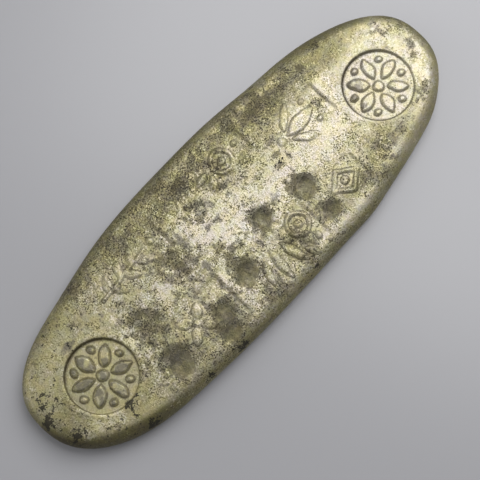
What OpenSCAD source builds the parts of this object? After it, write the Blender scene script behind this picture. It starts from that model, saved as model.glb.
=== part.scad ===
// Long oval ingot of pale yellow metal, poured by hand and flattened on its base.
// A round mark is struck near each end, shallow slanted fields lie between them,
// and a small hammer has left dents across the top face.
// +X runs along the length, +Z is up, and the base rests on Z = 0. Millimetres.

/* [Blank] */
// Length from end to end
ingot_len = 96.5; // [80:0.5:120]
// Width across the middle
ingot_w = 33; // [27:0.5:42]
// Thickness at the crown of the top face
ingot_t = 6; // [4.8:0.1:9]
// Fullness of the outline, where 2 is a plain ellipse
outline_power = 2.5; // [2:0.05:3.2]
// Height of the widest line of the side above the base
belt_h = 2.3; // [1.5:0.1:3]
// Reach of the rolled lower edge in from the side
foot_roll = 2; // [0.8:0.1:4]
// Reach of the rolled upper edge in from the side
brow_roll = 3; // [1.2:0.1:5]
// Rise of the top face from its rolled edge to the crown
crown_h = 0.4; // [0.1:0.05:1]
// Greatest dip of the hand-poured top face below a smooth crown
wave_depth = 0.25; // [0:0.05:0.4]
// Length of one wave along the top face
wave_len = 31; // [20:1:50]
// Greatest bulge or hollow of the hand-poured flanks
flank_wander = 1.65; // [0:0.05:2]

/* [Round marks] */
// Diameter of each round mark
mark_d = 12.9; // [10:0.1:15]
// Depth of the mark's floor below the top face
mark_depth = 0.55; // [0.3:0.05:0.9]
// Height of the raised petals and pellets above the mark's floor
relief_h = 0.4; // [0.1:0.05:0.8]
// Distance from the ingot's head end to the centre of the mark there
head_setback = 13.1; // [11:0.1:18]
// Distance from the ingot's tail end to the centre of the mark there
tail_setback = 13.4; // [11:0.1:18]
// Distance of each mark from the centre line, towards the front flank
mark_offset = 1.8; // [0:0.1:3]
// Turn of the rosette in the mark at the head end
head_turn = 12; // [0:1:60]
// Turn of the rosette in the mark at the tail end
tail_turn = 38; // [0:1:60]
// Number of petals in a rosette
petal_count = 6; // [4:1:8]
// Width of a petal at its middle
petal_w = 2.2; // [1:0.1:2.6]
// Clear band between the petals and the wall of the mark
mark_rim = 0.9; // [0.4:0.1:1.6]
// Diameter of the pellet at the centre of a rosette
hub_d = 2.1; // [1:0.1:2.6]
// Gap between the centre pellet and the petals
hub_gap = 0.4; // [0.2:0.1:1]
// Diameter of the pellets between the petals
pellet_d = 1.4; // [0.6:0.1:1.6]

/* [Struck fields] */
// Depth of a full-size slanted field at its deep edge
field_depth = 0.3; // [0.15:0.05:0.5]
// Length of a full-size field along the ingot
field_len = 12; // [8:0.5:16]
// Width of a full-size field across the ingot
field_w = 8.4; // [5:0.2:11]

/* [Hammer dents] */
// Width of a full-size dent
dent_w = 5; // [3:0.1:6.5]
// Depth of a full-size dent
dent_depth = 0.45; // [0.2:0.05:0.7]

/* [Hidden] */
$fn = 64;

half_len = ingot_len / 2;
half_w = ingot_w / 2;
brow_h = ingot_t - crown_h;

// Points round the outline, and steps in each part of the edge profile
around = 120;
foot_steps = 3;
brow_steps = 6;
// Shares of the way from the rolled edge to the centre line at which the top has a ring
crown_shares = [0.12, 0.26, 0.42, 0.6, 0.78, 0.93];

// Bulges (positive) and hollows of the flanks: place along the half length,
// back flank 1 or front flank -1, spread along the half length, share of the wander
flank_bumps = [
    [-0.65, 1, 0.22, -0.61],
    [0.41, 1, 0.16, -0.33],
    [-0.85, -1, 0.3, 1],
    [0.38, -1, 0.1, 0.24],
    [0.81, -1, 0.09, 0.3],
];

// Dents: place along the half length, place across the half width,
// share of the full width, share of the full depth
dents = [
    [0.07, -0.19, 0.95, 1],
    [0.26, -0.28, 1, 1],
    [0.265, -0.65, 0.8, 0.9],
    [-0.26, 0.15, 1.2, 0.55],
    [-0.11, -0.45, 1.05, 0.9],
    [-0.27, -0.56, 0.9, 0.8],
    [-0.3, -0.76, 0.85, 0.75],
    [-0.5, -0.59, 1.15, 0.95],
    [-0.475, -0.1, 1.05, 0.5],
    [0.09, -0.61, 0.7, 0.45],
    [-0.065, 0.36, 0.75, 0.4],
];

// Fields: place of the middle of the deep edge along the half length and across the half
// width, the way the field runs from it, share of the full length, width and depth
fields = [
    [-0.21, 0.47, -1, 1.3, 0.7, 0.8],
    [-0.195, -0.5, -1, 1.05, 1.05, 1],
    [0.56, 0.23, -1, 1, 0.78, 0.8],
    [0.245, 0.56, -1, 0.85, 0.65, 0.6],
    [0.21, -0.6, -1, 1, 0.95, 0.5],
    [0.47, -0.55, -1, 0.7, 0.75, 0.5],
    [-0.55, 0.04, 1, 0.5, 0.8, 0.4],
];

// How far a cutter stands above the surface that it cuts
cutter_h = ingot_t;

// Amount by which a flank stands out at x on one side
function wander(x, side) =
    let (shares = [for (b = flank_bumps)
        if (b[1] == side) b[3] * exp(-pow((x / half_len - b[0]) / b[2], 2))])
    flank_wander * (shares * [for (s = shares) 1]);

// Point of the outline at angle a, moved in from the side by d
function rim_point(a, d) =
    let (
        side = a < 180 ? 1 : -1,
        x = (half_len - d) * cos(a),
        rise = pow(max(0, 1 - pow(abs(cos(a)), outline_power)), 1 / outline_power),
        fade = rise * (1 - d / half_w)
    )
    [x, side * ((half_w - d) * rise + fade * wander(x, side))];

// Height of the smooth top face where it lies a share s of the way in from its edge
function crown_at(s) = brow_h + crown_h * (1 - pow(1 - s, 2));

// Dip of the poured top face below the smooth crown
function dip(x, y, s) =
    wave_depth * s * (0.5 + 0.5 * sin(360 * x / wave_len + 50) * cos(270 * y / wave_len));

// Distance in from the side, and height, of each ring from the base up to the crown
foot_profile = [for (i = [0:foot_steps])
    let (t = 90 * i / foot_steps)
    [foot_roll * (1 - sin(t)), belt_h * (1 - cos(t))]];
brow_profile = [for (i = [1:brow_steps])
    let (t = 90 * i / brow_steps)
    [brow_roll * (1 - cos(t)), belt_h + (brow_h - belt_h) * sin(t)]];
edge_profile = concat(foot_profile, brow_profile);

function edge_ring(p) = [for (i = [0:around - 1])
    let (q = rim_point(360 * i / around, p[0])) [q[0], q[1], p[1]]];

function crown_ring(s) = [for (i = [0:around - 1])
    let (q = rim_point(360 * i / around, brow_roll + (half_w - brow_roll) * s))
    [q[0], q[1], crown_at(s) - dip(q[0], q[1], s)]];

rings = concat(
    [for (p = edge_profile) edge_ring(p)],
    [for (s = crown_shares) crown_ring(s)]);

// How far in from the side the point x, y lies, found by halving
function inset_at(x, y, low = 0, high = half_w, left = 20) =
    let (
        d = (low + high) / 2,
        out = pow(abs(x) / (half_len - d), outline_power) + pow(abs(y) / (half_w - d), outline_power) > 1
    )
    left == 0 ? d : out ? inset_at(x, y, low, d, left - 1) : inset_at(x, y, d, high, left - 1);

// Height of the top face at x, y
function top_at(x, y) =
    let (s = max(0, (inset_at(x, y) - brow_roll) / (half_w - brow_roll)))
    crown_at(s) - dip(x, y, s);

// The poured blank: rings round the outline, closed by a flat base and a strip along the crown
module blank() {
    last = (len(rings) - 1) * around;
    half = around / 2;
    walls = [for (k = [0:len(rings) - 2], i = [0:around - 1])
        let (a = k * around + i, b = k * around + (i + 1) % around)
        each [[a, b + around, b], [a, a + around, b + around]]];
    base = [for (i = [0:around - 1]) i];
    strip = [for (i = [1:half - 2])
        each [[last + i, last + around - i, last + i + 1],
            [last + i + 1, last + around - i, last + around - i - 1]]];
    tips = [[last, last + around - 1, last + 1], [last + half, last + half - 1, last + half + 1]];
    polyhedron(points = [for (r = rings) each r], faces = concat([base], walls, strip, tips));
}

// Leaf-shaped petal lying along +X with one tip at the origin
module petal(length, width) {
    radius = (pow(length, 2) + pow(width, 2)) / (4 * width);
    translate([length / 2, 0])
        intersection() {
            translate([0, radius - width / 2]) circle(radius);
            translate([0, width / 2 - radius]) circle(radius);
        }
}

// Rosette of petals round a centre pellet, with a small pellet in each gap
module rosette() {
    reach = mark_d / 2 - mark_rim;
    start = hub_d / 2 + hub_gap;
    circle(d = hub_d);
    for (i = [0:petal_count - 1]) {
        rotate(i * 360 / petal_count)
            translate([start, 0]) petal(reach - start, petal_w);
        rotate((i + 0.5) * 360 / petal_count)
            translate([reach - pellet_d / 2, 0]) circle(d = pellet_d);
    }
}

// Cutter for one round mark, which leaves the rosette standing on its floor
module round_mark(x, y, turn) {
    translate([x, y, top_at(x, y) - mark_depth]) {
        linear_extrude(relief_h)
            difference() {
                circle(d = mark_d);
                rotate(turn) rosette();
            }
        translate([0, 0, relief_h]) cylinder(d = mark_d, h = cutter_h);
    }
}

// Cutter for one slanted field, deepest at the edge that it starts from
module struck_field(x, y, way, length, width, depth) {
    slant = atan(depth / length);
    translate([x, y, top_at(x, y) - depth])
        rotate([0, -way * slant, 0])
            translate([way > 0 ? 0 : -length, -width / 2, 0])
                cube([length, width, cutter_h]);
}

// Cutter for one round hammer dent
module dent(x, y, width, depth) {
    radius = (pow(width / 2, 2) + pow(depth, 2)) / (2 * depth);
    translate([x, y, top_at(x, y) - depth + radius]) sphere(radius);
}

module ingot() {
    color("#a39b6b")
        difference() {
            blank();
            round_mark(half_len - head_setback, -mark_offset, head_turn);
            round_mark(tail_setback - half_len, -mark_offset, tail_turn);
            for (f = fields)
                struck_field(f[0] * half_len, f[1] * half_w, f[2],
                    f[3] * field_len, f[4] * field_w, f[5] * field_depth);
            for (d = dents)
                dent(d[0] * half_len, d[1] * half_w, d[2] * dent_w, d[3] * dent_depth);
        }
}

ingot();
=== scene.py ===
import math
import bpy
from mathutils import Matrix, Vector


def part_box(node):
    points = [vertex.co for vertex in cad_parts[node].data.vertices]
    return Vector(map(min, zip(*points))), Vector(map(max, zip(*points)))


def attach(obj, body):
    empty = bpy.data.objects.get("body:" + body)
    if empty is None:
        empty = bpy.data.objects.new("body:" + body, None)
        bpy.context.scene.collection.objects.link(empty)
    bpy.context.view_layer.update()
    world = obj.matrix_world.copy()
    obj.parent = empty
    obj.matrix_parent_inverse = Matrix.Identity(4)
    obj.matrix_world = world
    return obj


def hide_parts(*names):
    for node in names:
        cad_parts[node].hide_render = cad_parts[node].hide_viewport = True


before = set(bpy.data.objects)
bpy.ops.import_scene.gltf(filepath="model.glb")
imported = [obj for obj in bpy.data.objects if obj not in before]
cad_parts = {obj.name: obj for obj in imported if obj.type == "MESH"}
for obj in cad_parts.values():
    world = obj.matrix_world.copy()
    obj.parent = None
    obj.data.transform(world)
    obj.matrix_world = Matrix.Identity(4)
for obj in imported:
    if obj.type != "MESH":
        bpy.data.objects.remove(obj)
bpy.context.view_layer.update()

from types import SimpleNamespace

import bmesh
import bpy
import numpy as np
from bpy.props import FloatProperty, FloatVectorProperty, IntProperty, PointerProperty
from bpy.types import Operator, Panel, PropertyGroup
from mathutils import Matrix, Vector, noise

bl_info = {
    "name": "Hand-poured ingot",
    "version": (1, 0, 0),
    "blender": (4, 5, 0),
    "location": "3D View > Sidebar > Ingot",
    "description": "Pours, strikes and tarnishes a flat oval ingot and lays it on a plain stage",
    "category": "Add Mesh",
}

MM = 0.001
INGOT_LOW, INGOT_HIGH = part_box("ingot")
HALF_LEN = (INGOT_HIGH.x - INGOT_LOW.x) / 2
HALF_WIDTH = (INGOT_HIGH.y - INGOT_LOW.y) / 2
THICKNESS = INGOT_HIGH.z - INGOT_LOW.z

# Bulges and hollows of the flanks: place along the half length, back flank 1 or
# front flank -1, spread along the half length, share of the wander
FLANK_BUMPS = (
    (-0.65, 1, 0.22, -0.61),
    (0.41, 1, 0.16, -0.33),
    (-0.85, -1, 0.3, 1.0),
    (0.38, -1, 0.1, 0.24),
    (0.81, -1, 0.09, 0.3),
)

# Hammer dents: place along the half length and across the half width,
# share of the full width and of the full depth
DENTS = (
    (0.07, -0.19, 0.95, 1.0),
    (0.26, -0.28, 1.0, 1.0),
    (0.265, -0.65, 0.8, 0.9),
    (-0.26, 0.15, 1.2, 0.55),
    (-0.11, -0.45, 1.05, 0.9),
    (-0.27, -0.56, 0.9, 0.8),
    (-0.3, -0.76, 0.85, 0.75),
    (-0.5, -0.59, 1.15, 0.95),
    (-0.475, -0.1, 1.05, 0.5),
    (0.09, -0.61, 0.7, 0.45),
    (-0.065, 0.36, 0.75, 0.4),
)

# Struck fields: middle of the deep edge along the half length and across the half width,
# the way the field runs from it, share of the full length, width and depth
FIELDS = (
    (-0.21, 0.47, -1, 1.3, 0.7, 0.8),
    (-0.195, -0.5, -1, 1.05, 1.05, 1.0),
    (0.56, 0.23, -1, 1.0, 0.78, 0.8),
    (0.245, 0.56, -1, 0.85, 0.65, 0.6),
    (0.21, -0.6, -1, 1.0, 0.95, 0.5),
    (0.47, -0.55, -1, 0.7, 0.75, 0.5),
    (-0.55, 0.04, 1, 0.5, 0.8, 0.4),
)

# Worn ornament in the fields, in millimetres on the top face.
# Bars: both ends and half width. Rings: centre, radius and half width.
# Leaves: tip, length, width, direction in degrees. Pellets: centre and radius.
BARS = (
    (15.4, -9.1, 18.4, -6.9, 0.48),
    (18.4, -6.9, 21.4, -9.1, 0.48),
    (21.4, -9.1, 18.4, -11.3, 0.48),
    (18.4, -11.3, 15.4, -9.1, 0.48),
    (-25.4, 6.9, -14.4, 8.2, 0.4),
)
RINGS = (
    (7.1, -8.3, 2.1, 0.46),
    (6.2, 9.0, 2.0, 0.46),
)
LEAVES = (
    (-24.0, 7.1, 3.4, 1.7, 56),
    (-23.0, 7.0, 3.2, 1.7, -42),
    (-20.8, 7.5, 3.4, 1.7, 56),
    (-19.8, 7.4, 3.2, 1.7, -42),
    (-17.6, 7.9, 3.2, 1.6, 56),
    (-16.6, 7.8, 3.0, 1.6, -42),
    (-17.0, -7.1, 3.2, 2.0, 45),
    (-17.8, -7.1, 3.2, 2.0, 135),
    (-17.8, -7.9, 3.2, 2.0, 225),
    (-17.0, -7.9, 3.2, 2.0, 315),
    (17.2, 3.6, 7.0, 2.6, 4),
    (17.4, 4.6, 5.2, 1.8, 42),
    (17.4, 2.6, 5.2, 1.8, -34),
    (0.2, -7.6, 6.6, 1.9, -94),
    (2.4, -8.0, 6.2, 1.8, -76),
    (-1.9, -8.6, 4.6, 1.6, -112),
    (4.9, -12.0, 3.0, 1.5, -60),
    (3.0, 9.6, 3.2, 1.6, 198),
    (3.2, 8.4, 3.0, 1.5, 236),
)
PELLETS = (
    (15.9, 3.5, 0.85),
    (23.4, 6.2, 0.6),
    (23.8, 1.6, 0.6),
    (18.4, -9.1, 0.85),
    (7.1, -8.3, 0.85),
    (8.3, -12.2, 0.7),
    (6.2, 9.0, 0.8),
    (9.8, 9.7, 0.6),
    (-17.4, -7.5, 0.65),
    (-12.6, 8.4, 0.7),
)

# Patches on the top face and its edge, in millimetres: place, reach along and across, strength.
# Pale patches are rubbed bright, pitted ones are peppered with dark specks,
# grey ones have a dull smear, inky ones are black, and toned ones are lighter or darker.
PALE_PATCHES = (
    (0.0, 2.5, 9.0, 4.5, 0.9),
    (10.0, 1.2, 5.0, 2.6, 0.9),
    (8.5, -1.6, 4.6, 2.4, 0.9),
    (20.5, 4.0, 3.2, 2.0, 0.8),
    (19.0, -0.6, 7.0, 3.0, 1.0),
    (-16.8, 0.0, 3.6, 2.4, 0.8),
    (-26.8, -1.5, 1.8, 4.2, 0.7),
    (-7.6, -8.4, 1.2, 4.0, 0.8),
    (-2.2, -8.6, 1.6, 1.6, 0.7),
    (28.4, 1.8, 1.6, 4.4, 0.8),
    (43.6, 0.8, 2.6, 4.6, 0.8),
    (41.6, -5.4, 2.4, 2.6, 0.6),
    (-40.4, -7.4, 3.0, 1.2, 0.6),
)
PITTED_PATCHES = (
    (-5.5, 13.6, 3.0, 1.5, 0.8),
    (-1.4, 11.4, 2.6, 1.6, 1.0),
    (4.3, 13.0, 2.6, 1.4, 0.8),
    (5.0, 9.6, 3.0, 1.8, 0.7),
    (4.3, 5.4, 2.2, 1.3, 0.8),
    (12.9, 13.0, 3.4, 1.4, 0.9),
    (17.5, 11.8, 3.2, 1.6, 1.0),
    (23.0, 11.0, 3.4, 1.4, 0.9),
    (27.0, 9.8, 2.0, 1.2, 0.7),
    (32.5, 11.5, 1.8, 1.0, 0.6),
    (-17.1, 12.6, 2.6, 1.2, 0.9),
    (-27.6, 12.0, 1.8, 1.6, 0.8),
    (-14.4, 6.4, 2.6, 1.2, 0.5),
    (-22.8, -2.2, 2.4, 2.2, 0.9),
    (-24.4, -2.4, 1.6, 1.2, 0.7),
    (-25.6, 1.0, 1.8, 1.6, 0.8),
    (-15.8, -1.5, 1.2, 1.2, 0.8),
    (-3.9, -3.0, 1.7, 1.5, 0.9),
    (-3.0, 2.2, 1.4, 1.0, 0.8),
    (24.9, 4.2, 1.6, 1.6, 0.9),
    (14.6, 4.4, 1.8, 1.0, 0.7),
    (14.4, 2.6, 2.0, 0.9, 0.9),
    (13.0, 1.0, 1.4, 0.7, 0.9),
    (32.0, -9.6, 2.0, 1.0, 0.8),
    (27.6, -9.8, 2.6, 2.0, 0.9),
    (21.5, -10.6, 1.6, 2.2, 0.8),
    (4.8, -12.7, 2.4, 1.6, 1.0),
    (-4.0, -13.0, 2.6, 1.4, 1.0),
    (43.0, 4.6, 1.0, 1.2, 0.9),
    (44.4, -1.6, 1.2, 1.8, 0.8),
    (39.9, -7.9, 1.1, 1.0, 0.9),
    (37.9, -8.7, 1.0, 0.8, 0.8),
    (-32.2, 7.4, 1.2, 1.2, 0.6),
    (-35.3, 11.3, 2.2, 1.4, 0.6),
    (-41.3, 8.8, 1.2, 1.2, 0.4),
    (-39.2, -9.1, 1.0, 0.8, 0.6),
    (-28.9, -6.8, 1.2, 1.2, 0.7),
    (-42.2, -0.8, 1.0, 2.0, 0.6),
    (-12.6, 1.8, 2.6, 2.8, 1.0),
    (22.5, -12.1, 2.2, 1.6, 0.9),
    (5.4, 6.6, 2.6, 1.2, 0.5),
    (-5.8, -6.4, 2.6, 2.4, 1.0),
    (-3.1, 5.2, 2.4, 1.4, 0.9),
    (5.4, -10.2, 2.0, 1.2, 1.0),
    (-13.6, -10.8, 2.6, 2.6, 1.0),
    (12.9, -5.2, 2.6, 2.4, 0.6),
    (3.2, -2.6, 2.8, 2.6, 0.7),
    (-24.0, -9.6, 2.8, 2.4, 0.8),
    (13.0, -10.6, 2.4, 2.0, 0.5),
)
GREY_PATCHES = (
    (-8.7, 4.4, 0.7, 2.2, 0.9),
    (-9.0, -2.4, 0.7, 1.3, 0.9),
    (8.4, -2.0, 1.1, 0.8, 0.7),
    (-34.8, 5.6, 1.6, 0.8, 1.0),
    (-21.4, 6.0, 1.0, 1.6, 0.5),
    (1.0, -6.0, 1.2, 1.0, 0.5),
    (-23.8, -9.2, 1.8, 1.6, 0.55),
    (-13.2, -11.0, 1.6, 1.2, 0.5),
)
INKY_PATCHES = (
    (-44.7, 2.9, 1.1, 0.6, 0.9),
    (-46.0, 2.2, 0.7, 0.8, 0.8),
    (-43.5, 0.9, 0.8, 0.5, 0.7),
    (-41.3, 3.7, 0.6, 0.4, 0.7),
    (-46.0, -0.5, 0.9, 1.0, 1.0),
    (-44.3, -5.7, 1.4, 0.9, 1.0),
    (-34.8, -8.8, 1.3, 0.7, 0.9),
    (-35.4, -10.1, 0.6, 0.5, 0.6),
    (-34.4, -13.6, 1.3, 1.0, 1.0),
    (-22.8, -15.6, 1.2, 0.7, 0.9),
    (-14.5, -15.6, 1.6, 1.1, 0.9),
    (12.8, 1.2, 1.4, 0.7, 0.6),
    (-34.7, 5.5, 1.2, 0.6, 0.6),
    (3.5, -15.2, 0.9, 0.8, 0.7),
)
# Toned patches: the long lighter strips along the front and back flanks paint highlights onto the rolled
# edge; the others make the metal lighter or darker
TONED_PATCHES = (
    (41.5, -9.6, 4.0, 2.4, 0.3),
    (32.0, -13.0, 5.0, 1.4, 0.35),
    (44.6, -5.8, 1.6, 2.4, 0.2),
    (44.0, 8.0, 2.0, 2.0, 0.25),
    (18.0, -14.2, 4.0, 0.9, 0.3),
    (5.5, -14.0, 9.5, 1.0, 0.32),
    (5.0, 14.0, 12.0, 1.2, 0.33),
    (9.0, 9.4, 3.0, 1.4, 0.2),
    (20.5, 13.2, 4.0, 1.0, 0.25),
    (36.0, 5.2, 5.0, 1.0, 0.3),
    (28.0, -4.4, 2.0, 2.4, 0.2),
    (19.0, 4.0, 3.4, 1.8, 0.2),
    (19.0, -8.2, 3.0, 2.0, 0.2),
    (11.8, -1.3, 2.8, 1.3, 0.25),
    (-0.4, -2.4, 2.0, 1.6, 0.25),
    (-11.5, -6.8, 5.0, 1.6, 0.2),
    (-20.8, 8.0, 3.0, 1.8, 0.25),
    (-20.8, 1.0, 3.0, 2.0, 0.2),
    (45.6, 4.0, 1.8, 3.4, -0.4),
    (4.8, -11.2, 2.2, 1.8, -0.3),
    (8.4, 6.0, 5.0, 1.8, -0.35),
    (0.6, 7.2, 2.4, 1.4, -0.15),
    (-4.6, 10.4, 3.4, 2.0, -0.25),
    (21.0, 10.0, 3.0, 2.0, -0.2),
    (32.0, 8.2, 5.0, 1.4, -0.2),
    (28.0, -7.6, 3.8, 2.2, -0.2),
    (20.0, -12.0, 3.6, 1.4, -0.42),
    (-19.5, -12.6, 4.4, 1.8, -0.22),
    (-13.4, -10.8, 2.2, 2.2, -0.2),
    (-23.6, -2.0, 2.6, 2.4, -0.12),
    (-9.8, -9.0, 1.0, 2.6, 0.25),
    (7.6, -10.4, 1.6, 1.2, 0.2),
    (6.0, 8.8, 2.0, 1.4, 0.2),
    (-33.0, -9.6, 2.6, 1.4, -0.15),
    (-45.0, -4.5, 2.4, 3.0, -0.3),
    (-30.0, 14.4, 6.0, 1.4, -0.3),
    (-37.0, 10.0, 5.0, 2.0, -0.1),
)
# How fast a patch fades towards its reach
PATCH_FADE = 0.55

# Steps of the poured ball round its outline and up its section
STEPS_ROUND = 320
STEPS_UP = 120
# Upward part of the normal that tells top faces, base points and the flat base
TOP_FACING = 0.5
BASE_FACING = -0.8
FLAT_FACING = -0.99
# Margins round the marks and the ornament within which the mesh is cut finer
MARK_MARGIN = 0.5 * MM
ORNAMENT_MARGIN = 0.35 * MM
# Wander of hand-cut outlines, and the size of its lumps
HAND_WOBBLE = 0.28 * MM
HAND_LUMP = 1.9 * MM
# Width of the rounded edge of a raised stroke, and radius of a leaf's worn tips
STROKE_EDGE = 0.5 * MM
WORN_TIP = 0.3 * MM
# Hammer lumps: height and size in millimetres
HAMMER_LUMPS = ((0.04, 7.0), (0.02, 2.4))
# Distance in a noise between one layer and the next
LAYER_STEP = 17.3

# Noises of the finish: size in millimetres, detail, roughness, layer
GRAINS = {
    "pepper": (0.27, 2, 0.5, 0.0),
    "sand": (0.28, 1, 0.6, 5.0),
    "grit": (0.85, 3, 0.55, 0.0),
    "stain": (1.2, 2, 0.5, 4.0),
    "lace": (1.4, 3, 0.65, 2.0),
    "rose": (1.8, 3, 0.6, 3.0),
    "blotch": (2.6, 4, 0.6, 0.0),
    "patch": (3.2, 2, 0.6, 7.0),
    "gold": (6.0, 3, 0.6, 0.0),
    "broad": (9.0, 3, 0.5, 0.0),
}
# Pairs of tints that multiply the metal's colour, one at each end of a noise
GOLDEN_TINTS = ((1.0, 1.0, 0.86), (0.99, 1.0, 1.01))
ROSY_TINTS = ((1.02, 0.99, 1.0), (0.98, 1.01, 0.98))
STAINED_TINTS = ((1.02, 1.005, 0.91), (0.99, 0.985, 1.075))
BUMP_STRENGTH = 0.5
BUMP_DEPTH = 0.1 * MM

# Stage, in metres: half the floor's width, and where each lamp stands and how wide it is
FLOOR_REACH = 1.5
FLOOR_ROUGHNESS = 0.28
KEY_PLACE = (0.19, 0.05, 0.33)
KEY_SIZE = 0.32
FILL_PLACE = (-0.28, 0.24, 0.16)
FILL_SIZE = 0.3
# Power of the fill lamp as a share of the key lamp's
FILL_SHARE = 0.25
# Upward part of the direction at which the sky reaches its strength from above
SKY_TURN = 0.55
# Width of the camera's sensor in millimetres, and the nearest distance that it sees
SENSOR_WIDTH = 36
NEAREST_SEEN = 10 * MM


def smooth_step(low, high, values):
    """Eases from 0 at low to 1 at high."""
    share = np.clip((values - low) / (high - low), 0, 1)
    return share * share * (3 - 2 * share)


def linear(colour):
    """Turns a display colour into the linear RGBA that shaders take."""
    parts = [c / 12.92 if c <= 0.04045 else ((c + 0.055) / 1.055) ** 2.4 for c in colour]
    return (*parts, 1.0)


def length_prop(name, description, size):
    """A length in metres that a user can change."""
    return FloatProperty(name=name, description=description, default=size, min=0, unit="LENGTH", precision=5)


def share_prop(name, description, share, high=1.0):
    """A plain number that a user can change."""
    return FloatProperty(name=name, description=description, default=share, min=0, max=high, precision=3)


def angle_prop(name, description, degrees):
    """An angle that a user can change."""
    return FloatProperty(name=name, description=description, default=math.radians(degrees), unit="ROTATION")


def colour_prop(name, description, colour):
    """A display colour that a user can change."""
    return FloatVectorProperty(
        name=name, description=description, default=colour, min=0, max=1, size=3, subtype="COLOR_GAMMA")


class INGOT_PG_blank(PropertyGroup):
    """Sizes of the poured blank."""
    outline_power: share_prop("Outline power", "Fullness of the outline, where 2 is an ellipse", 2.5, 4)
    belt_height: length_prop("Belt height", "Height of the widest line of the side", 2.3 * MM)
    foot_roll: length_prop("Foot roll", "Reach of the rolled lower edge", 2.0 * MM)
    brow_roll: length_prop("Brow roll", "Reach of the rolled upper edge", 3.0 * MM)
    crown: length_prop("Crown", "Rise of the top face from its edge to its crown", 0.4 * MM)
    wave_depth: length_prop("Wave depth", "Greatest dip of the poured top face", 0.25 * MM)
    wave_length: length_prop("Wave length", "Length of one wave of the top face", 31 * MM)
    wander: length_prop("Flank wander", "Greatest bulge or hollow of the flanks", 1.65 * MM)
    cell: length_prop("Cell", "Size of the mesh's even cells", 0.3 * MM)


class INGOT_PG_strikes(PropertyGroup):
    """Sizes of the marks, fields and dents."""
    mark_diameter: length_prop("Mark diameter", "Diameter of each round mark", 12.9 * MM)
    mark_depth: length_prop("Mark depth", "Depth of the mark's floor", 0.55 * MM)
    head_setback: length_prop("Head setback", "Distance from the head end to its mark's centre", 13.1 * MM)
    tail_setback: length_prop("Tail setback", "Distance from the tail end to its mark's centre", 13.4 * MM)
    mark_offset: length_prop("Mark offset", "Distance of each mark from the centre line", 1.8 * MM)
    relief: length_prop("Relief", "Height of the petals above the mark's floor", 0.42 * MM)
    head_turn: angle_prop("Head turn", "Turn of the rosette at the head end", 12)
    tail_turn: angle_prop("Tail turn", "Turn of the rosette at the tail end", 38)
    petals: IntProperty(name="Petals", description="Number of petals in a rosette", default=6, min=3)
    petal_width: length_prop("Petal width", "Width of a petal at its middle", 2.2 * MM)
    mark_rim: length_prop("Mark rim", "Clear band between the petals and the mark's wall", 0.9 * MM)
    hub: length_prop("Hub", "Diameter of the centre pellet", 2.1 * MM)
    hub_gap: length_prop("Hub gap", "Gap between the centre pellet and the petals", 0.4 * MM)
    pellet: length_prop("Pellet", "Diameter of the pellets between the petals", 1.4 * MM)
    field_depth: length_prop("Field depth", "Depth of a field at its deep edge", 0.3 * MM)
    field_length: length_prop("Field length", "Length of a full-size field", 12.0 * MM)
    field_width: length_prop("Field width", "Width of a full-size field", 8.4 * MM)
    ornament: length_prop("Ornament", "Height of the worn ornament in the fields", 0.28 * MM)
    dent_width: length_prop("Dent width", "Width of a full-size dent", 5.0 * MM)
    dent_depth: length_prop("Dent depth", "Depth of a full-size dent", 0.45 * MM)


class INGOT_PG_finish(PropertyGroup):
    """Colours of the metal, of what has settled on it and of the painted shade in its corners."""
    cream: colour_prop("Cream metal", "Metal rubbed bright on the high spots", (0.825, 0.798, 0.742))
    khaki: colour_prop("Khaki metal", "Plain worn metal", (0.695, 0.67, 0.563))
    olive: colour_prop("Olive metal", "Metal under a thin olive film", (0.492, 0.473, 0.36))
    brown: colour_prop("Brown tarnish", "Thick tarnish in pits and dents", (0.305, 0.282, 0.22))
    black: colour_prop("Black tarnish", "Blackened pits and spots", (0.155, 0.143, 0.115))
    smudge: colour_prop("Smudge", "Thin end of the brown-grey film", (0.525, 0.5, 0.43))
    hollow: colour_prop("Hollow", "Smooth film in the dents", (0.45, 0.427, 0.334))
    scale: colour_prop("Scale", "Thick end of the brown-grey film", (0.29, 0.268, 0.225))
    smear: colour_prop("Smear", "Dull grey tarnish in smears", (0.405, 0.387, 0.35))
    # Dark corner colour: grime, and also painted shade at the foot of walls and strokes
    grime_and_shade: colour_prop("Grime", "Dirt in the corners of the strokes", (0.23, 0.195, 0.125))


class INGOT_PG_stage(PropertyGroup):
    """Floor, light and camera."""
    floor: colour_prop("Floor", "Colour of the floor", (0.64, 0.64, 0.655))
    azimuth: angle_prop("Azimuth", "Way the camera looks, from +Y", -46.96)
    elevation: angle_prop("Elevation", "Height of the camera above the floor", 80)
    distance: length_prop("Distance", "From the camera to its aim", 215 * MM)
    aim: FloatVectorProperty(
        name="Aim", description="Point that the camera looks at", subtype="XYZ", unit="LENGTH",
        default=(-1.37 * MM, -2.5 * MM, 2.3 * MM))
    lens: FloatProperty(name="Lens", description="Focal length in millimetres", default=92.0, min=1)
    key_power: FloatProperty(
        name="Key power", description="Power of the large lamp", default=1.28, unit="POWER")
    zenith: FloatProperty(
        name="Zenith", description="Strength of the light from above", default=0.32, min=0)
    horizon: FloatProperty(
        name="Horizon", description="Strength of the light from the sides", default=0.2, min=0)


def flank_wander(blank, x, side):
    """How far the flank on one side stands out at x."""
    total = np.zeros_like(x)
    for place, flank, spread, share in FLANK_BUMPS:
        bump = share * np.exp(-(((x / HALF_LEN - place) / spread) ** 2))
        total += np.where(side == flank, bump, 0)
    return blank.wander * total


def rim_points(blank, turn, inset):
    """Points of the outline at each angle, moved in from the side."""
    side = np.where(np.sin(turn) >= 0, 1, -1)
    x = (HALF_LEN - inset) * np.cos(turn)
    power = blank.outline_power
    rise = np.maximum(0, 1 - np.abs(np.cos(turn)) ** power) ** (1 / power)
    fade = rise * (1 - inset / HALF_WIDTH)
    return x, side * ((HALF_WIDTH - inset) * rise + fade * flank_wander(blank, x, side))


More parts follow.
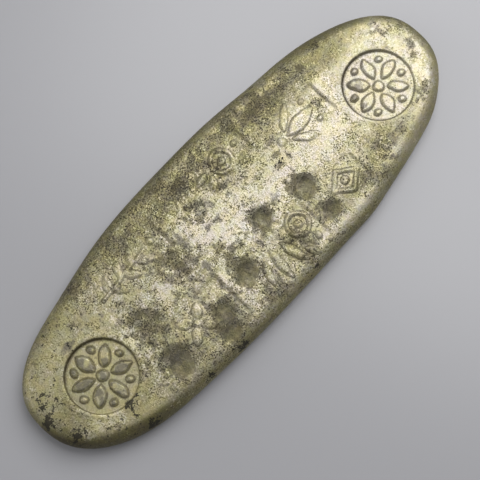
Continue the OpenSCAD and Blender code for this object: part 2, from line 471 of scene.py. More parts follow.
def inset_at(blank, x, y):
    """How far in from the side each point lies, found by halving."""
    low = np.zeros_like(x)
    high = np.full_like(x, HALF_WIDTH)
    power = blank.outline_power
    for _ in range(24):
        middle = (low + high) / 2
        along = np.abs(x) / (HALF_LEN - middle)
        across = np.abs(y) / np.maximum(HALF_WIDTH - middle, 1e-9)
        outside = along ** power + across ** power > 1
        high = np.where(outside, middle, high)
        low = np.where(outside, low, middle)
    return low


def surface_profile(blank, way):
    """Inset and height along the section, from the base's centre (0) to the crown (1)."""
    base_end, belt, brow_end = 0.2, 0.36, 0.6
    brow_height = THICKNESS - blank.crown
    foot = np.clip((way - base_end) / (belt - base_end), 0, 1) * math.pi / 2
    brow = np.clip((way - belt) / (brow_end - belt), 0, 1) * math.pi / 2
    crown = np.clip((way - brow_end) / (1 - brow_end), 0, 1)
    base = np.clip(way / base_end, 0, 1)
    inset = np.where(
        way < base_end, HALF_WIDTH + (blank.foot_roll - HALF_WIDTH) * base,
        np.where(way < belt, blank.foot_roll * (1 - np.sin(foot)),
                 np.where(way < brow_end, blank.brow_roll * (1 - np.cos(brow)),
                          blank.brow_roll + (HALF_WIDTH - blank.brow_roll) * crown)))
    height = np.where(
        way < belt, blank.belt_height * (1 - np.cos(foot)),
        np.where(way < brow_end, blank.belt_height + (brow_height - blank.belt_height) * np.sin(brow),
                 brow_height + blank.crown * (1 - (1 - crown) ** 2)))
    return inset, height, crown


def poured_dip(blank, x, y, crown):
    """Dip of the poured top face below the smooth crown."""
    along = np.sin(2 * math.pi * x / blank.wave_length + math.radians(50))
    across = np.cos(1.5 * math.pi * y / blank.wave_length)
    return blank.wave_depth * crown * (0.5 + 0.5 * along * across)


def pour_blank(blank):
    """A ball whose rings are moved onto the ingot's section and outline."""
    bm = bmesh.new()
    bmesh.ops.create_uvsphere(bm, u_segments=STEPS_ROUND, v_segments=STEPS_UP, radius=1)
    ball = np.array([v.co for v in bm.verts])
    way = np.arcsin(np.clip(ball[:, 2], -1, 1)) / math.pi + 0.5
    turn = np.arctan2(ball[:, 1], ball[:, 0])
    inset, height, crown = surface_profile(blank, way)
    x, y = rim_points(blank, turn, inset)
    height = height - poured_dip(blank, x, y, crown)
    for vert, place in zip(bm.verts, np.stack([x, y, height], axis=1)):
        vert.co = place
    bmesh.ops.recalc_face_normals(bm, faces=bm.faces)
    return bm


def even_cells(bm, cell):
    """Gives a closed mesh even cells of one size."""
    mesh = bpy.data.meshes.new("blank")
    bm.to_mesh(mesh)
    bm.free()
    blank = bpy.data.objects.new("blank", mesh)
    bpy.context.scene.collection.objects.link(blank)
    cells = blank.modifiers.new("Even cells", "REMESH")
    cells.mode = "VOXEL"
    cells.voxel_size = cell
    graph = bpy.context.evaluated_depsgraph_get()
    even = bpy.data.meshes.new_from_object(blank.evaluated_get(graph))
    made = bmesh.new()
    made.from_mesh(even)
    bpy.data.objects.remove(blank)
    bpy.data.meshes.remove(mesh)
    bpy.data.meshes.remove(even)
    return made


def flatten_base(bm, cell):
    """Makes the base one flat face on the floor."""
    for vert in bm.verts:
        if vert.co.z < cell / 3 and vert.normal.z < BASE_FACING:
            vert.co.z = 0
    base = [f for f in bm.faces if all(v.co.z == 0 for v in f.verts)]
    bmesh.ops.dissolve_faces(bm, faces=base)
    bm.normal_update()


def refine_top(bm, wanted, cuts):
    """Cuts the top face finer wherever wanted(x, y) holds."""
    faces = [f for f in bm.faces if f.normal.z > TOP_FACING]
    middles = np.array([f.calc_center_median() for f in faces])
    chosen = wanted(middles[:, 0], middles[:, 1])
    edges = {e for f, take in zip(faces, chosen) if take for e in f.edges}
    bmesh.ops.subdivide_edges(bm, edges=list(edges), cuts=cuts, use_grid_fill=True)


def leaf_distance(x, y, length, width):
    """Signed distance to a leaf with worn tips, along +x with one tip at the origin."""
    span = length - 2 * WORN_TIP
    thick = width - 2 * WORN_TIP
    radius = (span ** 2 + thick ** 2) / (4 * thick)
    offset = radius - thick / 2
    along = np.abs(x - length / 2)
    across = np.abs(y)
    past_tip = (along - span / 2) * offset > across * span / 2
    point = np.hypot(along - span / 2, across)
    return np.where(past_tip, point, np.hypot(along, across + offset) - radius) - WORN_TIP


def bar_distance(x, y, start, end, half_width):
    """Signed distance to a bar with round ends."""
    run = (end[0] - start[0], end[1] - start[1])
    share = ((x - start[0]) * run[0] + (y - start[1]) * run[1]) / (run[0] ** 2 + run[1] ** 2)
    share = np.clip(share, 0, 1)
    return np.hypot(x - start[0] - share * run[0], y - start[1] - share * run[1]) - half_width


def rotate(x, y, angle):
    """Coordinates seen from a frame turned by angle."""
    return x * math.cos(angle) + y * math.sin(angle), -x * math.sin(angle) + y * math.cos(angle)


def rosette_distance(strikes, x, y, turn):
    """Signed distance to a rosette of petals and pellets round the origin."""
    reach = strikes.mark_diameter / 2 - strikes.mark_rim
    start = strikes.hub / 2 + strikes.hub_gap
    nearest = np.hypot(x, y) - strikes.hub / 2
    step = 2 * math.pi / strikes.petals
    for i in range(strikes.petals):
        u, v = rotate(x, y, turn + i * step)
        nearest = np.minimum(nearest, leaf_distance(u - start, v, reach - start, strikes.petal_width))
        u, v = rotate(x, y, turn + (i + 0.5) * step)
        dot = np.hypot(u - reach + strikes.pellet / 2, v) - strikes.pellet / 2
        nearest = np.minimum(nearest, dot)
    return nearest


def ornament_distance(x, y):
    """Signed distance to the worn ornament in the fields."""
    nearest = np.full_like(x, HALF_LEN)
    for x0, y0, x1, y1, half in BARS:
        bar = bar_distance(x, y, (x0 * MM, y0 * MM), (x1 * MM, y1 * MM), half * MM)
        nearest = np.minimum(nearest, bar)
    for cx, cy, radius, half in RINGS:
        ring = np.abs(np.hypot(x - cx * MM, y - cy * MM) - radius * MM) - half * MM
        nearest = np.minimum(nearest, ring)
    for cx, cy, length, width, way in LEAVES:
        u, v = rotate(x - cx * MM, y - cy * MM, math.radians(way))
        nearest = np.minimum(nearest, leaf_distance(u, v, length * MM, width * MM))
    for cx, cy, radius in PELLETS:
        nearest = np.minimum(nearest, np.hypot(x - cx * MM, y - cy * MM) - radius * MM)
    return nearest


def domed(distance, edge):
    """Rounded top of a raised stroke, from 0 at its outline to 1 an edge's width in."""
    share = np.clip(-distance / edge, 0, 1)
    return 1 - (1 - share) ** 2


def cloud(points, size, layer=0):
    """Smooth noise from -1 to 1 with lumps of about the given size."""
    shift = Vector((0, 0, LAYER_STEP * layer))
    return np.array([noise.noise(Vector(p) / size + shift) for p in points])


def mark_places(strikes):
    """Centre, turn of the rosette, deeper side and share of blackened petals of each round mark."""
    return (
        (HALF_LEN - strikes.head_setback, -strikes.mark_offset, strikes.head_turn, (-0.8, 0.6), 0.0),
        (strikes.tail_setback - HALF_LEN, -strikes.mark_offset, strikes.tail_turn, (0, 1), 1.0),
    )


class Relief:
    """Heights and masks over the points of the ingot's surface."""

    MASKS = ("tone", "rough", "warm", "pale", "film", "hollow", "lit", "grey", "ink", "grime_and_shade", "gap")

    def __init__(self, blank, strikes, points, normals):
        self.strikes = strikes
        self.points = points
        self.x = points[:, 0]
        self.y = points[:, 1]
        self.inset = inset_at(blank, self.x, self.y)
        self.top = smooth_step(0.3 * blank.brow_roll, blank.brow_roll, self.inset) * (normals[:, 2] > 0)
        self.upward = smooth_step(-0.1, 0.5, normals[:, 2])
        self.hand_x = self.x + HAND_WOBBLE * cloud(points, HAND_LUMP, 1)
        self.hand_y = self.y + HAND_WOBBLE * cloud(points, HAND_LUMP, 2)
        self.drift_x = self.x + self.drift(6)
        self.drift_y = self.y + self.drift(8)
        for name in (*self.MASKS, "rise", "struck", "dents", "dent_rims"):
            setattr(self, name, np.zeros(len(points)))

    def drift(self, layer):
        """Ragged wander of the tarnish, from two layers of noise."""
        broad = 1.1 * MM * cloud(self.points, 4.5 * MM, layer)
        return broad + 0.5 * MM * cloud(self.points, 1.6 * MM, layer + 1)

    def hammer(self):
        """Low lumps that the hammer and the mould left."""
        for height, size in HAMMER_LUMPS:
            self.rise += height * MM * cloud(self.points, size * MM)

    def strike_fields(self):
        """Slanted fields, deepest along one edge."""
        s = self.strikes
        wall = 0.16 * MM
        side_wall = 0.5 * MM
        for px, py, way, length_share, width_share, depth_share in FIELDS:
            length = length_share * s.field_length
            half_width = width_share * s.field_width / 2
            along = way * (self.hand_x - px * HALF_LEN)
            within = half_width - np.abs(self.hand_y - py * HALF_WIDTH)
            slope = np.clip(1 - along / length, 0, 1) ** 1.5
            inside = smooth_step(-wall, wall, along) * smooth_step(-side_wall, side_wall, within)
            self.rise -= inside * s.field_depth * depth_share * slope
            # Dark line along the deep edge of each field: partly grime, partly painted shade on its wall
            corner = np.exp(-((along - 0.4 * wall) / (0.9 * wall)) ** 2)
            grime_and_shade = 0.7 * depth_share * corner * smooth_step(0, 1.5 * MM, within)
            self.grime_and_shade = np.maximum(self.grime_and_shade, grime_and_shade)

    def raise_ornament(self):
        """Worn bars, rings, leaves and pellets in the fields."""
        distance = ornament_distance(self.hand_x, self.hand_y)
        worn = smooth_step(-0.4, 0.25, cloud(self.points, 3.5 * MM, 3))
        stroke = domed(distance, STROKE_EDGE) * (0.55 + 0.45 * worn)
        self.rise += self.strikes.ornament * stroke
        self.tone += 0.06 * stroke
        self.near_stroke = smooth_step(0.8 * MM, 0, distance)
        # The gap places the dark outlines round the strokes: partly grime, partly painted shade
        self.gap = np.clip(distance / MM, -1, 1)

    def hammer_dents(self):
        """Round dents with a smooth film inside and specks round the rim, with painted shade towards the
        back of each dent and painted light on its front wall.
        """
        s = self.strikes
        ragged = 1 + 0.3 * cloud(self.points, 2.0 * MM, 4) + 0.3 * cloud(self.points, 0.8 * MM, 5)
        patchy = smooth_step(-0.5, 0.3, cloud(self.points, 1.5 * MM, 10))
        for px, py, width_share, depth_share in DENTS:
            u = 1.2 * self.hand_x - 0.2 * self.x - px * HALF_LEN
            v = 1.2 * self.hand_y - 0.2 * self.y - py * HALF_WIDTH
            reach = np.hypot(u, v)
            radius = width_share * s.dent_width / 2
            share = reach / radius
            # The smooth hollow is set towards the front of the dent, where painted light falls
            core = np.hypot(u, v + 0.2 * radius) / radius
            self.rise -= s.dent_depth * depth_share * np.clip(1 - share ** 2, 0, 1) ** 1.1
            strength = depth_share ** 0.3
            # Painted shade: the film and the rim specks grow heavier towards the back (+Y) side of each dent
            shaded = 0.65 + 0.35 * (0.25 * u + v) / np.maximum(reach, 1e-9)
            rim = shaded * patchy * np.exp(-(((share * ragged - 0.95) / 0.36) ** 2))
            smooth = smooth_step(0.4, 0.9, depth_share) * smooth_step(0.9, 0.62, core * ragged)
            self.hollow = np.maximum(self.hollow, smooth)
            # Painted light: the lit mask rises towards the front wall of each dent
            self.lit += smooth_step(1.3, 1.0, share) * (0.25 * u - v) / radius
            film = strength * shaded * smooth_step(1.52, 0.8, share * ragged)
            self.dents = np.maximum(self.dents, film)
            self.dent_rims = np.maximum(self.dent_rims, strength * rim)

    def strike_marks(self):
        """Sunk round marks with a raised rosette."""
        s = self.strikes
        wall = 0.2 * MM
        uneven = 1 + 0.4 * cloud(self.points, 2.2 * MM, 11)
        blackened = smooth_step(-0.4, 0.3, cloud(self.points, 1.3 * MM, 12))
        for cx, cy, turn, (deep_x, deep_y), black in mark_places(s):
            u = self.x - cx
            v = self.y - cy
            reach = s.mark_diameter / 2
            rim = np.hypot(u, v) - reach
            lean = (u * deep_x + v * deep_y) / reach
            inside = smooth_step(0.5 * wall, -wall, rim)
            distance = rosette_distance(s, self.hand_x - cx, self.hand_y - cy, turn)
            stroke = domed(distance, STROKE_EDGE)
            floor = -s.mark_depth * (1 + 0.35 * lean) + s.relief * stroke
            lip = 0.07 * MM * np.exp(-((rim - 0.5 * MM) / (0.5 * MM)) ** 2)
            self.rise = self.rise * (1 - inside) + inside * floor + lip
            # Dark line at the foot of the mark's wall, wider on the deeper side, and dark outlines round the
            # petals: partly grime, partly painted shade
            corner = np.exp(-((rim + 0.12 * MM) / ((0.2 + 0.11 * lean) * uneven * MM)) ** 2)
            black = np.maximum(black, smooth_step(-0.1, 0.7, lean))
            outline = inside * np.exp(-((distance - 0.04 * MM) / (0.13 * MM)) ** 2) * (0.45 + 0.35 * black)
            grime_and_shade = np.maximum((0.6 + 0.35 * lean) * corner, outline)
            self.grime_and_shade = np.maximum(self.grime_and_shade * (1 - inside), grime_and_shade)
            for mask in (self.hollow, self.dents, self.dent_rims):
                mask *= 1 - inside
            self.gap = np.where(inside > 0.5, 1, self.gap)
            self.grey = np.maximum(self.grey, inside * stroke * black * (0.35 + 0.45 * blackened))
            self.struck = np.maximum(self.struck, inside)

    def patches(self, rows, join=np.maximum):
        """Soft ragged mask over a list of patches."""
        mask = np.zeros(len(self.points))
        for px, py, along, across, strength in rows:
            u = (self.drift_x - px * MM) / (along * MM)
            v = (self.drift_y - py * MM) / (across * MM)
            mask = join(mask, strength * np.exp(-PATCH_FADE * (u * u + v * v)))
        return mask

    def find_zones(self):
        """Soft zones of the face: the band along the back, the front, both ends and the edge."""
        self.bare = 1 - self.struck
        self.band = smooth_step(0.3 * HALF_WIDTH, 0.75 * HALF_WIDTH, self.drift_y)
        self.band *= smooth_step(-36 * MM, -14 * MM, self.x)
        self.front = smooth_step(-0.3 * HALF_WIDTH, -0.6 * HALF_WIDTH, self.drift_y)
        self.front *= smooth_step(-12 * MM, -4 * MM, self.drift_x)
        self.tail = smooth_step(-24 * MM, -34 * MM, self.drift_x)
        self.head = smooth_step(24 * MM, 32 * MM, self.drift_x)
        self.head_half = smooth_step(2 * MM, 12 * MM, self.drift_x)
        self.edge = smooth_step(2.0 * MM, 0.2 * MM, self.inset)

    def lay_film(self):
        """Metal rubbed pale, the film over dents (carrying the painted shade on their back sides), pits and
        hazy places, and the warm zones.
        """
        rubbed = self.patches(PALE_PATCHES) * self.bare * (1 - self.dents)
        self.pale = rubbed * (1 - 0.4 * self.near_stroke)
        pitted = self.patches(PITTED_PATCHES) * self.bare * (1 - 0.5 * self.near_stroke)
        hazy = smooth_step(-34 * MM, -26 * MM, self.drift_x) * smooth_step(14 * MM, 6 * MM, self.drift_x)
        haze = 0.24 * np.maximum(self.band, hazy) * (1 - 0.9 * self.pale)
        # Over the dents this film also carries their painted shade
        film = np.maximum(np.maximum(self.dents, 1.2 * self.dent_rims), 0.9 * pitted)
        self.film = (film + haze) * (1 - 0.7 * self.edge) * self.bare
        self.warm = np.maximum(np.maximum(self.band, self.tail), self.edge)

    def set_tone(self):
        """Lightness of the metal, with painted shade in a line round the rim, darkest along the front of the
        tail.
        """
        rim = smooth_step(1.5 * MM, 0.3 * MM, self.inset)
        # Painted shade along the outermost rim, stronger on the tail's front flank
        painted_rim_shade = rim * (0.25 + 0.4 * self.tail * (self.y < 0))
        self.tone += 0.45 - 0.04 * self.tail - 0.06 * self.head_half - 0.28 * self.band - painted_rim_shade
        # The toned patches include painted highlight strips along the flanks
        self.tone += 0.32 * self.head * self.struck + self.bare * self.patches(TONED_PATCHES, np.add)

    def set_roughness(self):
        """Strength of the sand and pits in the metal."""
        calm = self.head_half * (1 - self.front) * (1 - 0.6 * self.head)
        self.rough = 0.64 + 0.15 * self.pale + 0.1 * self.band * (1 - self.head_half) - 0.18 * calm
        self.rough -= np.maximum(0.36 * self.head * (1 - 0.5 * self.struck), 0.34 * self.tail)
        worn = np.maximum(self.struck * (1 - 0.6 * self.head), self.near_stroke)
        self.rough -= 0.3 * self.edge + 0.2 * worn
        self.rough = np.clip(self.rough, 0.15, 1)

    def spot(self):
        """Grey smears, inky flakes and the sparse flecks of the tail."""
        self.grey = np.maximum(self.grey, self.patches(GREY_PATCHES))
        flecks = 0.2 * self.tail * self.bare
        self.ink = np.maximum(self.patches(INKY_PATCHES), flecks) * self.upward

    def work(self):
        """Strikes everything in the order in which it was made, and then tarnishes it."""
        self.hammer()
        self.strike_fields()
        self.raise_ornament()
        self.hammer_dents()
        self.strike_marks()
        self.find_zones()
        self.lay_film()
        self.set_tone()
        self.set_roughness()
        self.spot()


def strike_top(mesh, blank, strikes):
    """Moves the points of the top face and stores the masks that the finish reads."""
    count = len(mesh.vertices)
    points = np.empty(count * 3)
    normals = np.empty(count * 3)
    mesh.vertices.foreach_get("co", points)
    mesh.vertices.foreach_get("normal", normals)
    points = points.reshape(-1, 3)
    relief = Relief(blank, strikes, points, normals.reshape(-1, 3))
    relief.work()
    points[:, 2] += relief.rise * relief.top
    mesh.vertices.foreach_set("co", points.ravel())
    for name in Relief.MASKS:
        layer = mesh.attributes.new(name, "FLOAT", "POINT")
        layer.data.foreach_set("value", getattr(relief, name).astype(np.float32))
    mesh.update()


def add_node(tree, kind, inputs=None, **settings):
    """Adds a node, sets its properties and fills or links its inputs."""
    node = tree.nodes.new(kind)
    for name, value in settings.items():
        setattr(node, name, value)
    for name, value in (inputs or {}).items():
        if isinstance(value, bpy.types.NodeSocket):
            tree.links.new(value, node.inputs[name])
        else:
            node.inputs[name].default_value = value
    return node


def mask_of(tree, name):
    """Reads one of the masks stored on the mesh."""
    return add_node(tree, "ShaderNodeAttribute", attribute_name=name).outputs["Fac"]


def sums(tree, operation, *values):
    """One Math node."""
    return add_node(tree, "ShaderNodeMath", dict(enumerate(values)), operation=operation).outputs[0]


def eased(tree, value, low, high):
    """Eases a value from 0 at low to 1 at high."""
    return add_node(
        tree, "ShaderNodeMapRange", {"Value": value, "From Min": low, "From Max": high},
        interpolation_type="SMOOTHSTEP").outputs["Result"]


def grain(tree, place, size, detail, roughness, layer):
    """Noise with lumps of about the given size."""
    return add_node(
        tree, "ShaderNodeTexNoise",
        {"Vector": place, "W": layer, "Scale": 1 / size, "Detail": detail, "Roughness": roughness},
        noise_dimensions="4D").outputs["Fac"]


def mixed(tree, share, first, second, blend="MIX"):
    """Mixes two colours."""
    node = add_node(tree, "ShaderNodeMix", data_type="RGBA", blend_type=blend)
    for socket, value in ((node.inputs[0], share), (node.inputs[6], first), (node.inputs[7], second)):
        if isinstance(value, bpy.types.NodeSocket):
            tree.links.new(value, socket)
        else:
            socket.default_value = value
    return node.outputs[2]


def swing(tree, value, amount):
    """Turns noise about 0.5 into a swing of the given amount either way."""
    return sums(tree, "MULTIPLY_ADD", value, 2 * amount, -amount)


def banded(tree, value, stops):
    """Colour that runs through the stops as the value rises."""
    share = sums(tree, "MULTIPLY_ADD", value, 0.5, 0.5)
    node = add_node(tree, "ShaderNodeValToRGB", {"Fac": share})
    ramp = node.color_ramp
    while len(ramp.elements) < len(stops):
        ramp.elements.new(1)
    for element, (place, colour) in zip(ramp.elements, stops):
        element.position = 0.5 + 0.5 * place
        element.color = linear(colour)
    return node.outputs["Color"]


def tinted(tree, share, coloured, tints):
    """Multiplies a colour by a tint that runs from the first to the second of a pair."""
    first, second = tints
    return mixed(tree, 1.0, coloured, mixed(tree, share, (*first, 1), (*second, 1)), "MULTIPLY")


def metal_grains(tree):
    """All the noises of the finish, by name."""
    place = add_node(tree, "ShaderNodeTexCoord").outputs["Object"]
    made = {name: grain(tree, place, size * MM, *rest) for name, (size, *rest) in GRAINS.items()}
    return SimpleNamespace(**made)


def pitted_height(tree, grains):
    """Height of the sandy, pitted metal, and the speckle that places its pits."""
    rough = mask_of(tree, "rough")
    speckle = sums(tree, "ADD", grains.pepper, swing(tree, grains.grit, 0.2))
    clustered = sums(tree, "ADD", eased(tree, grains.blotch, 0.58, 0.42), 0.2)
    pitting = sums(tree, "MULTIPLY", sums(tree, "MULTIPLY", rough, 1.1), clustered)
    pits = sums(tree, "MULTIPLY", eased(tree, speckle, 0.53, 0.62), pitting)
    sandy = sums(tree, "ADD", swing(tree, grains.sand, 0.95), swing(tree, grains.grit, 0.36))
    sandy = sums(tree, "MULTIPLY", sandy, sums(tree, "ADD", rough, 0.15))
    uneven = sums(tree, "MULTIPLY_ADD", eased(tree, grains.patch, 0.35, 0.65), 0.8, 0.6)
    sandy = sums(tree, "MULTIPLY", sandy, uneven)
    return sums(tree, "MULTIPLY_ADD", pits, -1.1, sandy), speckle


def metal_tone(tree, grains, height):
    """Where each point stands between black at -1 and cream at 1."""
    ragged = sums(tree, "ADD", swing(tree, grains.lace, -1.2), swing(tree, grains.sand, 0.7))
    pale = eased(tree, sums(tree, "ADD", mask_of(tree, "pale"), ragged), 0.27, 0.57)
    tone = sums(tree, "ADD", height, mask_of(tree, "tone"))
    tone = sums(tree, "ADD", tone, swing(tree, grains.broad, 0.2))
    tone = sums(tree, "MULTIPLY_ADD", pale, 0.36, tone)
    return sums(tree, "MULTIPLY_ADD", mask_of(tree, "film"), -0.22, tone)


def flaky_film(tree, finish, grains, speckle, coloured):
    """Lays the flaky brown-grey film and its black specks, and gives the film's share too."""
    cover = sums(tree, "MULTIPLY_ADD", mask_of(tree, "film"), 1.3, -0.3)
    flaked = sums(tree, "ADD", cover, swing(tree, grains.lace, 2.4))
    film = eased(tree, sums(tree, "ADD", flaked, swing(tree, grains.sand, 0.3)), 0.42, 0.58)
    film = sums(tree, "MULTIPLY", film, 0.66)
    thick = eased(tree, sums(tree, "ADD", flaked, swing(tree, grains.pepper, 1.8)), 0.45, 1.05)
    coloured = mixed(tree, film, coloured, mixed(tree, thick, linear(finish.smudge), linear(finish.scale)))
    specks = sums(tree, "MULTIPLY", eased(tree, speckle, 0.55, 0.64), sums(tree, "MULTIPLY", film, 0.9))
    return mixed(tree, specks, coloured, linear(finish.black)), film


def filmed_hollows(tree, finish, grains, coloured):
    """Lays the smooth mottled film in the dents, lighter on the side that faces the light."""
    ragged = sums(tree, "ADD", swing(tree, grains.grit, 0.35), swing(tree, grains.sand, 0.2))
    sunken = eased(tree, sums(tree, "ADD", mask_of(tree, "hollow"), ragged), 0.4, 0.56)
    mottle = sums(tree, "ADD", grains.lace, swing(tree, grains.sand, 0.3))
    shade = sums(tree, "MULTIPLY_ADD", mask_of(tree, "lit"), -0.22, mottle)
    light = linear([1.12 * c for c in finish.hollow])
    dark = linear([0.58 * c for c in finish.hollow])
    mottled = mixed(tree, eased(tree, shade, 0.2, 0.8), light, dark)
    return mixed(tree, sums(tree, "MULTIPLY", sunken, 0.85), coloured, mottled)


def clouded(tree, grains, coloured):
    """Tints the metal with golden, rosy and stained clouds."""
    golden = sums(tree, "MULTIPLY_ADD", mask_of(tree, "warm"), -0.2, grains.gold)
    coloured = tinted(tree, eased(tree, golden, 0.2, 0.65), coloured, GOLDEN_TINTS)
    coloured = tinted(tree, eased(tree, grains.rose, 0.35, 0.65), coloured, ROSY_TINTS)
    return tinted(tree, eased(tree, grains.stain, 0.38, 0.62), coloured, STAINED_TINTS)


def grey_smears(tree, grains):
    """Share of dull grey tarnish."""
    grey = sums(tree, "ADD", mask_of(tree, "grey"), swing(tree, grains.grit, 0.7))
    return sums(tree, "MULTIPLY", eased(tree, grey, 0.3, 0.75), 0.75)


def inky_flakes(tree, grains):
    """Share of black flakes and flecks."""
    inky = mask_of(tree, "ink")
    ragged = sums(tree, "ADD", swing(tree, grains.grit, 1.5), swing(tree, grains.pepper, 0.6))
    flakes = eased(tree, sums(tree, "ADD", inky, ragged), 0.5, 0.72)
    return sums(tree, "MULTIPLY", flakes, sums(tree, "MULTIPLY", eased(tree, inky, 0.05, 0.25), 0.9))


def corner_dirt_and_shade(tree, grains):
    """Share of the dark corner colour in the corners of the strokes and round the ornament: partly grime,
    partly painted shade.
    """
    gap = sums(tree, "ABSOLUTE", sums(tree, "ADD", swing(tree, grains.grit, 0.12), mask_of(tree, "gap")))
    outline = sums(tree, "MULTIPLY", eased(tree, gap, 0.15, 0.04), eased(tree, grains.blotch, 0.7, 0.35))
    grime_and_shade = sums(tree, "MAXIMUM", mask_of(tree, "grime_and_shade"), sums(tree, "MULTIPLY", outline, 0.7))
    return sums(tree, "MULTIPLY", grime_and_shade, eased(tree, grains.grit, 0.2, 0.5))


def worn_metal(finish):
    """Khaki metal, rubbed cream in places, with peppered tarnish, smears, inky flakes, and grime with
    painted shade in the corners.
    """
    material = bpy.data.materials.new("worn_yellow_metal")
    material.use_nodes = True
    tree = material.node_tree
    grains = metal_grains(tree)
    height, speckle = pitted_height(tree, grains)
    tone = metal_tone(tree, grains, height)
    coloured = banded(tree, tone, (
        (-1.0, finish.black), (-0.5, finish.brown), (0.0, finish.olive),
        (0.45, finish.khaki), (1.0, finish.cream)))
    coloured, film = flaky_film(tree, finish, grains, speckle, coloured)
    coloured = filmed_hollows(tree, finish, grains, coloured)
    coloured = clouded(tree, grains, coloured)
    ink = inky_flakes(tree, grains)
    grime_and_shade = corner_dirt_and_shade(tree, grains)
    coloured = mixed(tree, grey_smears(tree, grains), coloured, linear(finish.smear))
    coloured = mixed(tree, ink, coloured, linear(finish.black))
    coloured = mixed(tree, grime_and_shade, coloured, linear(finish.grime_and_shade))
    dull = sums(tree, "MAXIMUM", eased(tree, tone, 0.2, -0.6), sums(tree, "MAXIMUM", grime_and_shade, ink))
    dull = sums(tree, "MAXIMUM", dull, sums(tree, "MULTIPLY", film, 0.6))
    bump = add_node(
        tree, "ShaderNodeBump", {"Height": height, "Strength": BUMP_STRENGTH, "Distance": BUMP_DEPTH})
    shader = tree.nodes["Principled BSDF"]
    tree.links.new(coloured, shader.inputs["Base Color"])
    tree.links.new(sums(tree, "MULTIPLY_ADD", dull, 0.1, 0.54), shader.inputs["Roughness"])
    tree.links.new(sums(tree, "MULTIPLY_ADD", dull, -0.4, 0.85), shader.inputs["Metallic"])
    tree.links.new(bump.outputs["Normal"], shader.inputs["Normal"])
    return material


class INGOT_OT_pour(Operator):
    """Pour the blank, strike its top face and let it tarnish"""
    bl_idname = "ingot.pour"
    bl_label = "Pour ingot"

    def execute(self, context):
        blank = context.scene.ingot_blank
        strikes = context.scene.ingot_strikes
        bm = even_cells(pour_blank(blank), blank.cell)
        flatten_base(bm, blank.cell)
        refine_top(bm, lambda x, y: self.near_marks(strikes, x, y), 2)
        refine_top(bm, self.near_ornament, 1)
        mesh = bpy.data.meshes.new("ingot_metal")
        bm.to_mesh(mesh)
        bm.free()
        strike_top(mesh, blank, strikes)
        mesh.shade_smooth()
        for polygon in mesh.polygons:
            if polygon.normal.z < FLAT_FACING:
                polygon.use_smooth = False
        mesh.materials.append(worn_metal(context.scene.ingot_finish))
        piece = bpy.data.objects.new("struck_ingot", mesh)
        context.scene.collection.objects.link(piece)
        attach(piece, "root")
        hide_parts("ingot")
        return {"FINISHED"}

    @staticmethod
    def near_marks(strikes, x, y):
        """Whether points lie in or just round a round mark."""
        reach = strikes.mark_diameter / 2 + MARK_MARGIN
        near = [np.hypot(x - cx, y - cy) < reach for cx, cy, *_ in mark_places(strikes)]
        return np.logical_or(*near)

    @staticmethod
    def near_ornament(x, y):
        """Whether points lie on or just round the ornament in the fields."""
        return ornament_distance(x, y) < ORNAMENT_MARGIN


def soft_lamp(name, place, size, power):
    """A large square lamp that points at the origin."""
    lamp = bpy.data.lights.new(name, "AREA")
    lamp.shape = "SQUARE"
    lamp.size = size
    lamp.energy = power
    holder = bpy.data.objects.new(name, lamp)
    holder.location = place
    holder.rotation_euler = (-Vector(place)).to_track_quat("-Z", "Y").to_euler()
    bpy.context.scene.collection.objects.link(holder)


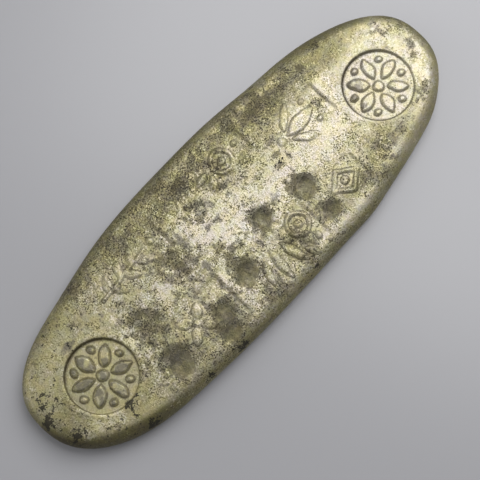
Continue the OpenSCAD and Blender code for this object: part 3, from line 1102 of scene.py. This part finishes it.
class INGOT_OT_stage(Operator):
    """Lay out the floor, the light and the camera"""
    bl_idname = "ingot.stage"
    bl_label = "Lay out stage"

    def execute(self, context):
        stage = context.scene.ingot_stage
        self.make_floor(stage)
        self.make_light(stage)
        self.make_camera(stage)
        context.scene.view_settings.view_transform = "Standard"
        return {"FINISHED"}

    def make_floor(self, stage):
        bm = bmesh.new()
        bmesh.ops.create_grid(bm, x_segments=1, y_segments=1, size=FLOOR_REACH)
        mesh = bpy.data.meshes.new("floor")
        bm.to_mesh(mesh)
        bm.free()
        material = bpy.data.materials.new("pale_floor")
        material.use_nodes = True
        shader = material.node_tree.nodes["Principled BSDF"]
        shader.inputs["Base Color"].default_value = linear(stage.floor)
        shader.inputs["Roughness"].default_value = FLOOR_ROUGHNESS
        mesh.materials.append(material)
        floor = bpy.data.objects.new("floor", mesh)
        bpy.context.scene.collection.objects.link(floor)

    def make_light(self, stage):
        world = bpy.data.worlds.new("soft_sky")
        world.use_nodes = True
        tree = world.node_tree
        sky = tree.nodes["Background"]
        way = add_node(tree, "ShaderNodeTexCoord").outputs["Generated"]
        height = add_node(tree, "ShaderNodeSeparateXYZ", {"Vector": way}).outputs["Z"]
        strength = add_node(tree, "ShaderNodeMapRange", {
            "Value": height, "From Min": 0.0, "From Max": SKY_TURN,
            "To Min": stage.horizon, "To Max": stage.zenith})
        tree.links.new(strength.outputs["Result"], sky.inputs["Strength"])
        sky.inputs["Color"].default_value = (1, 1, 1, 1)
        bpy.context.scene.world = world
        soft_lamp("key_lamp", KEY_PLACE, KEY_SIZE, stage.key_power)
        soft_lamp("fill_lamp", FILL_PLACE, FILL_SIZE, FILL_SHARE * stage.key_power)

    def make_camera(self, stage):
        a, e = stage.azimuth, stage.elevation
        right = Vector((math.cos(a), math.sin(a), 0))
        back = Vector((math.sin(a) * math.cos(e), -math.cos(a) * math.cos(e), math.sin(e)))
        up = back.cross(right)
        camera = bpy.data.cameras.new("camera")
        camera.lens = stage.lens
        camera.sensor_width = SENSOR_WIDTH
        camera.clip_start = NEAREST_SEEN
        holder = bpy.data.objects.new("camera", camera)
        turn = Matrix((right, up, back)).transposed().to_4x4()
        holder.matrix_world = Matrix.Translation(Vector(stage.aim) + stage.distance * back) @ turn
        bpy.context.scene.collection.objects.link(holder)
        bpy.context.scene.camera = holder


class INGOT_PT_panel(Panel):
    """Sizes, colours and makers of the ingot"""
    bl_idname = "INGOT_PT_panel"
    bl_label = "Hand-poured ingot"
    bl_space_type = "VIEW_3D"
    bl_region_type = "UI"
    bl_category = "Ingot"

    def draw(self, context):
        for group in GROUPS:
            box = self.layout.box()
            settings = getattr(context.scene, group)
            for name in settings.bl_rna.properties.keys():
                if name not in ("rna_type", "name"):
                    box.prop(settings, name)
        self.layout.operator(INGOT_OT_pour.bl_idname)
        self.layout.operator(INGOT_OT_stage.bl_idname)


GROUPS = {
    "ingot_blank": INGOT_PG_blank,
    "ingot_strikes": INGOT_PG_strikes,
    "ingot_finish": INGOT_PG_finish,
    "ingot_stage": INGOT_PG_stage,
}
CLASSES = (*GROUPS.values(), INGOT_OT_pour, INGOT_OT_stage, INGOT_PT_panel)


def register():
    for cls in CLASSES:
        bpy.utils.register_class(cls)
    for name, group in GROUPS.items():
        setattr(bpy.types.Scene, name, PointerProperty(type=group))


def unregister():
    for name in GROUPS:
        delattr(bpy.types.Scene, name)
    for cls in reversed(CLASSES):
        bpy.utils.unregister_class(cls)


def main():
    register()
    bpy.ops.ingot.pour()
    bpy.ops.ingot.stage()


if __name__ == "__main__":
    main()
